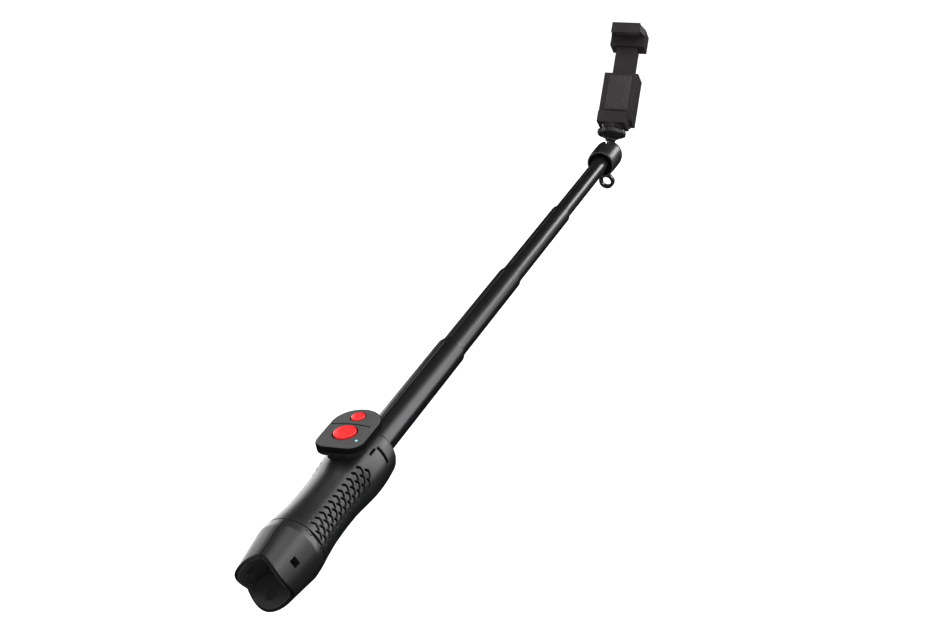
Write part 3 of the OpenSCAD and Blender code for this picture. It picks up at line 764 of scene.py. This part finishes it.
# status lens: a domed light pipe
prof = [(0, 23.2), (0.78, 23.2), (0.78, 24.75), (0.7, 24.92), (0.45, 25.03), (0, 25.08)]
v, f = lathe_mesh(prof, 32, closed=False)
add("light pipe", [(9.9 + x, BIG_Y - 6.4 + z, h) for x, h, z in v], f, M["led_blue"], "remote", "led_blue", angle=50, replaces=("status_lens",))


# battery door: coin slot and grip dots
def battery_lid():
    ob = from_bm("battery lid", extrude_bm(circle(6.9, 0, CELL_Y, 96), 12.42, 13.58, bevel=0.22, seg=3), mat=None)
    cuts = [temp("c", extrude_bm(rounded([(-4.5, CELL_Y - 0.8), (4.5, CELL_Y - 0.8), (4.5, CELL_Y + 0.8), (-4.5, CELL_Y + 0.8)], 0.78, 6), 12.0, 13.0))]
    for s in (-1, 1):
        cuts.append(temp("c", extrude_bm(circle(0.45, 0, CELL_Y + s * 4.6, 20), 12.0, 12.75)))
    carve(ob, cuts)
    finish_piece(ob, M["remote_case"], "battery_door", "remote_case", angle=35, replaces=("battery_door",))


battery_lid()

# ---------------------------------------------------------------- tubes: turned walls, rolled mouths and a pressed key groove
def tube_piece(name, r, a, b, lip, body, end):
    """A drawn tube whose groove is formed in the wall and runs out before each end."""
    n = 120
    g0, g1 = a + 16.0, b - 3.2
    ys = [a, a + 0.1, g0 - 0.1] + [g0 + 0.12 * i for i in range(0, 7)] + [g1 - 0.12 * i for i in range(6, -1, -1)] + [g1 + 0.2, b - 0.9]
    roll = 0.32
    verts, faces, rings = [], [], []

    def ring(rr, y, groove=False):
        st = len(verts)
        for i in range(n):
            t = 2 * PI * i / n
            q = rr
            if groove:
                s = min(t, 2 * PI - t) * r
                edge = min(1.0, max(0.0, (y - g0) / 0.7), max(0.0, (g1 - y) / 0.7))
                q -= 0.25 * edge * min(1.0, max(0.0, (0.72 - s) / 0.22))
            verts.append((q * math.sin(t), y, q * math.cos(t)))
        rings.append(list(range(st, st + n)))

    for y in ys:
        ring(r - (0.08 if y == a else 0.0), y, True)
    for i in range(1, 7):
        t = PI / 2 * i / 6
        ring(r - roll + roll * math.cos(t), b - roll + roll * math.sin(t) - 0.0)
    inner = lip if lip > 0 else r - 0.5
    ring(inner + 0.12, b)
    ring(inner, b - 0.12)
    if lip > 0:
        ring(inner, b - 3)
    ring(r - 0.5, b - 3.05 if lip > 0 else b - 0.3)
    ring(r - 0.5, a + 0.05)
    for p, q in zip(rings, rings[1:] + rings[:1]):
        for i in range(n):
            k = (i + 1) % n
            faces.append((p[i], p[k], q[k], q[i]))
    # denser columns at the groove come from moving the nearest ones to its edges
    cols = {0: 0.0, 1: 0.50, 2: 0.72, n - 1: -0.50, n - 2: -0.72}
    for c, s in cols.items():
        t = s / r
        for rg in rings:
            x, y, z = verts[rg[c]]
            q = math.hypot(x, z)
            if c in (2, n - 2) and q > r - 0.26 and g0 <= y <= g1:
                q = r
            verts[rg[c]] = (q * math.sin(t), y, q * math.cos(t))
    add(name, verts, faces, M["tube_black"], body, "tube_black", angle=40, replaces=(end,))


tube_piece("tube one", R1, 91.7, Y1, 8.1, "tube_1", "tube_1")
tube_piece("tube two", R2, Y1 - 12, Y2, 7.1, "tube_2", "tube_2")
tube_piece("tube three", R3, Y2 - 12, Y3, 6.0, "tube_3", "tube_3")
tube_piece("tube four", R4, Y3 - 12, BALL_Y - 7.2, 0, "tube_4", "tube_4")

# ---------------------------------------------------------------- ball head: lock wheel with wings and finger ribs
def wheel():
    n = 180
    verts, faces, rings = [], [], []
    base = [(3.3, 13.5), (3.3, 12.95), (4.3, 12.92), (4.75, 13.15), (5.3, 13.75), (6.9, 14.75), (8.3, 15.6), (8.5, 16.2), (8.5, 18.3), (8.3, 18.85), (7.8, 19.18), (6.6, 19.2), (6.2, 18.95), (4.62, 18.95), (4.62, 13.5)]
    for j, (r, y) in enumerate(base):
        st = len(verts)
        for i in range(n):
            t = 2 * PI * i / n
            q = r
            if r > 4.7:
                ax = abs(math.cos(t))            # the wings lie along local X
                w = 1 / (1 + math.exp(-(ax - 0.86) * 30))
                grow = {4: 0.2, 5: 1.0, 6: 1.75, 7: 2.05, 8: 2.05, 9: 2.0, 10: 1.7, 11: 0.3}.get(j, 0)
                q = r + grow * w
                if 6 <= j <= 9:                   # finger flutes between the wings
                    q -= 0.28 * (1 - w) * (0.5 + 0.5 * math.cos(24 * t)) ** 2
            verts.append((q * math.cos(t), y, q * math.sin(t)))
        rings.append(list(range(st, st + n)))
    for p, q in zip(rings, rings[1:] + rings[:1]):
        for i in range(n):
            k = (i + 1) % n
            faces.append((p[i], p[k], q[k], q[i]))
    add("lock knob", verts, faces, M["head_plastic"], "lock_wheel", "head_plastic", xf=HEAD, angle=38, replaces=("lock_wheel",))
    v, f = lathe_mesh([(3.18, 13.52), (4.58, 13.52), (4.58, 18.9), (4.3, 19.12), (3.4, 19.12), (3.18, 18.9)], 6 * 12)
    add("brass insert", v, f, M["brass"], "lock_wheel", "brass", xf=HEAD, angle=30, replaces=("wheel_nut",))


wheel()

# threaded stud with the ball and its flange
def stem():
    prof = []
    for i in range(0, 33):
        t = -PI / 2 + (PI / 2 + math.acos(2.7 / BALL_R)) * i / 32
        prof.append((BALL_R * math.cos(t) if i else 0.0, BALL_R * math.sin(t)))
    prof += [(2.45, BALL_R * math.sin(math.acos(2.7 / BALL_R)) + 0.4), (2.3, 6.6), (2.3, 7.4), (2.45, 10.3), (2.85, 10.85), (3.75, 11.3), (3.9, 11.5), (3.9, 12.05), (3.75, 12.2), (3.2, 12.28), (2.9, 12.6)]
    y = 12.9
    while y < 26.3:      # rolled thread
        prof += [(2.72, y), (3.09, y + 0.36), (3.09, y + 0.48), (2.72, y + 0.84), ]
        y += 1.0
    prof += [(2.6, 26.5), (2.2, 26.8), (0.0, 26.8)]
    v, f = lathe_mesh(prof, 64, closed=False)
    add("ball stud", v, f, M["stem_metal"], "ball_stem", "stem_metal", xf=HEAD, angle=42, replaces=("ball_stem",))


stem()

# ---------------------------------------------------------------- jaw springs, coiled
def coil(name, x, node, body):
    pts = []
    y0, y1 = 31.25, 77.05
    turns = 30
    m = turns * 14
    for i in range(m + 1):
        t = i / m
        a = 2 * PI * turns * t
        pts.append((x + 0.9 * math.cos(a), y0 + 0.2 + (y1 - y0 - 0.4) * t, -10.4 + 0.9 * math.sin(a)))
    v, f = tube_along(pts, 0.17, 7)
    ob = add(name, v, f, M["spring_steel"], body, "spring_steel", xf=HEAD, angle=60, replaces=(node,))
    return ob


coil("left coil", -1.3, "jaw_spring_left", "clamp")
coil("right coil", 1.3, "jaw_spring_right", "clamp")


# ---------------------------------------------------------------- ribbed rubber pads
def ribbed_pad(name, node, body, x0, x1, a0, a1, lo, hi, along, up, crest=0.35, pitch=1.5):
    """A pad with rounded ribs running across x. along is not used; (a0, a1) is the pad's other side and (lo, hi) its
    thickness.
    up 'd' thickness lies along the clamp's height, 'z' towards the phone's screen; a negative crest side is 'hi'."""
    nx = max(2, int((x1 - x0) / 0.12))
    na = 6
    verts, faces = [], []
    def put(x, a, t):
        return (x, t, a) if up == "d" else (x, a, t)
    def rib(x):
        u = (x - x0) / pitch
        return crest * (0.5 - 0.5 * math.cos(2 * PI * u)) ** 0.7
    rows = []
    aa = [a0, a0 + 0.3] + [a0 + 0.3 + (a1 - a0 - 0.6) * i / na for i in range(1, na)] + [a1 - 0.3, a1]
    for a in aa:
        row = []
        drop = 0.25 if a in (a0, a1) else 0.0
        for i in range(nx + 1):
            x = x0 + (x1 - x0) * i / nx
            end = min(1.0, (x - x0) / 0.4, (x1 - x) / 0.4)
            h = hi - crest + rib(x) * (0 if a in (a0, a1) else 1) * end - drop - (1 - end) * 0.2
            row.append(len(verts)); verts.append(put(x, a, h))
        rows.append(row)
    for p, q in zip(rows, rows[1:]):
        for i in range(nx):
            faces.append((p[i], p[i + 1], q[i + 1], q[i]))
    low = []
    for a in (aa[0], aa[-1]):
        row = []
        for i in range(nx + 1):
            x = x0 + (x1 - x0) * i / nx
            row.append(len(verts)); verts.append(put(x, a, lo))
        low.append(row)
    for i in range(nx):
        faces.append((low[0][i], low[0][i + 1], rows[0][i + 1], rows[0][i]))
        faces.append((low[1][i], rows[-1][i], rows[-1][i + 1], low[1][i + 1]))
        faces.append((low[0][i], low[1][i], low[1][i + 1], low[0][i + 1]))
    faces.append(tuple([low[0][0]] + [r[0] for r in rows] + [low[1][0]]))
    faces.append(tuple([low[0][-1]] + [r[-1] for r in rows] + [low[1][-1]]))
    return add(name, verts, faces, M["clamp_rubber"], body, "clamp_rubber", xf=HEAD, angle=50, replaces=(node,))


ribbed_pad("lower jaw rubber", "lower_pad", "clamp", -8.5, 8.5, 0.3, 6.4, JF - 1.0, JF, "x", "d", 0.3, 1.7)
ribbed_pad("back rubber", "back_pad", "clamp", -8.5, 8.5, 36.1, 63.9, -1.5, 0.0, "x", "z", 0.35, 1.7)


def upper_rubber():
    ob = ribbed_pad("upper jaw rubber", "upper_pad", "upper_jaw", -8.5, 8.5, 0.3, 6.4, -(JT + 1.0), -JT, "x", "d", 0.3, 1.7)
    return ob


# the upper pad faces down, so its points are built upside down and then turned over
def flip_local(ob):
    inv = HEAD.inverted()
    for v_ in ob.data.vertices:
        p = inv @ (v_.co / MM)
        p.y = -p.y
        v_.co = (HEAD @ p) * MM
    bm_ = bmesh.new(); bm_.from_mesh(ob.data)
    bmesh.ops.recalc_face_normals(bm_, faces=bm_.faces)
    bm_.to_mesh(ob.data); bm_.free()


flip_local(upper_rubber())

# ---------------------------------------------------------------- cover screws with cross recesses
def screw(i, x, y):
    prof = [(0, -14.82), (1.48, -14.82), (1.48, -15.35), (1.3, -15.62), (0.9, -15.76), (0, -15.8)]
    v, f = lathe_mesh(prof, 40, closed=False)
    head = add("cover screw %d" % i, [(x + a, y + c, b) for a, b, c in v], f, xf=HEAD)
    cuts = []
    for rot in (0, PI / 2):
        xf = HEAD @ Matrix.Translation((x, y, 0)) @ Matrix.Rotation(rot + 0.3 * i, 4, "Z")
        cuts.append(temp("c", box_bm(-0.95, 0.95, -0.2, 0.2, -16.4, -15.25, 0.0), xf))
    carve(head, cuts)
    finish_piece(head, STEEL, "clamp", "steel_pin", angle=35)
    return head


heads = [screw(i, x, y) for i, (x, y) in enumerate([(-10.5, 33), (10.5, 33), (-10.5, BH - 4.5), (10.5, BH - 4.5)])]
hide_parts("cover_screws")

# thin turned details: the lip round the ball head's skirt, coloured lighter as a painted highlight on the skirt's edge,
# and the face of the collar's mouth, coloured near black as a painted shadow
def turned_details():
    prof = [(9.3 + 0.33 * math.cos(2 * PI * i / 14), Y4 + 0.22 + 0.33 * math.sin(2 * PI * i / 14)) for i in range(14)]
    v, f = lathe_mesh(prof, 96)
    # the lip's lighter colour here is a painted highlight on the skirt's edge
    add("skirt lip painted highlight", v, f, material("skirt lip painted highlight", (0.055, 0.055, 0.056), rough=0.34, spec=0.7, tone=0.1), "tube_4", "head_plastic", angle=60)
    prof = [(11.35, 105.85), (11.3, 106.02), (11.6, 106.04), (14.4, 106.04), (14.8, 105.98), (14.8, 105.85)]
    v, f = lathe_mesh(prof, 96)
    # the near-black colour of this ring at the collar's mouth is a painted shadow round the tube
    add("collar mouth painted shadow", v, f, material("collar mouth painted shadow", (0.0016, 0.0016, 0.0017), rough=0.6, spec=0.2, tone=0.2, grain=0.05), "grip", "grip_plastic", angle=40)


turned_details()

# ---------------------------------------------------------------- stage, light and camera
def stage():
    me = bpy.data.meshes.new("floor")
    s = 6.0
    me.from_pydata([(-s, -s, 0), (s, -s, 0), (s, s, 0), (-s, s, 0)], [], [(0, 1, 2, 3)])
    fl = bpy.data.objects.new("floor", me)
    bpy.context.scene.collection.objects.link(fl)
    fl.location = (0, 0.2, -0.30)
    m = bpy.data.materials.new("pale floor")
    m.use_nodes = True
    nt = m.node_tree
    b = nt.nodes["Principled BSDF"]
    b.inputs["Base Color"].default_value = (0.96, 0.96, 0.96, 1)
    b.inputs["Roughness"].default_value = 0.9
    b.inputs["Specular IOR Level"].default_value = 0.1
    me.materials.append(m)
    fl.visible_glossy = False
    w = bpy.data.worlds.new("studio")
    bpy.context.scene.world = w
    w.use_nodes = True
    bg = w.node_tree.nodes["Background"]
    bg.inputs["Color"].default_value = (1, 1, 1, 1)
    bg.inputs["Strength"].default_value = 1.0


def area(name, loc, target, size, power, size_y=None):
    l = bpy.data.lights.new(name, "AREA")
    l.energy = power
    l.size = size
    if size_y:
        l.shape = "RECTANGLE"
        l.size_y = size_y
    o = bpy.data.objects.new(name, l)
    bpy.context.scene.collection.objects.link(o)
    o.location = loc
    d = Vector(target) - Vector(loc)
    o.rotation_euler = d.to_track_quat("-Z", "Y").to_euler()
    return o


stage()
bpy.context.scene.world.cycles_visibility.glossy = False
area("softbox right", (0.86, 1.02, 0.40), (0.0, 0.2, 0.0), 0.5, 11, 1.6)
area("softbox left", (-0.95, 0.92, -0.05), (0.0, 0.1, 0.0), 0.35, 6.0, 1.5)
area("front fill", (0.9, 0.1, 1.1), (0.0, 0.22, 0.0), 0.8, 7.0, 1.2)
area("top", (0.1, 0.7, 1.4), (0.0, 0.3, 0.0), 0.8, 3.5)
area("low fill", (0.25, -0.9, 0.35), (0.0, 0.08, 0.0), 0.3, 1.5)
area("head rim", (0.52, 1.45, 0.19), (0.0, 0.5, 0.0), 0.3, 3.0)
area("back fill", (-0.9, -0.25, 0.9), (0.0, 0.3, 0.0), 0.6, 4.0, 1.0)

cam = bpy.data.objects.new("camera", bpy.data.cameras.new("camera"))
bpy.context.scene.collection.objects.link(cam)
right = Vector((0.9145, 0.379, -0.148)).normalized()
down = Vector((0.0522, -0.471, -0.882))
down = (down - right * down.dot(right)).normalized()
fwd = right.cross(down).normalized()
rot = Matrix((right, -down, -fwd)).transposed()
cam.matrix_world = Matrix.Translation((0.4177, -0.5690, 0.4680)) @ rot.to_4x4()
cam.data.sensor_width = 36
cam.data.lens = 1700 / 950 * 36
cam.data.clip_start = 0.01
cam.data.clip_end = 50
bpy.context.scene.camera = cam
bpy.context.scene.view_settings.view_transform = "Standard"
bpy.context.scene.view_settings.look = "None"
bpy.context.scene.view_settings.exposure = 0.0
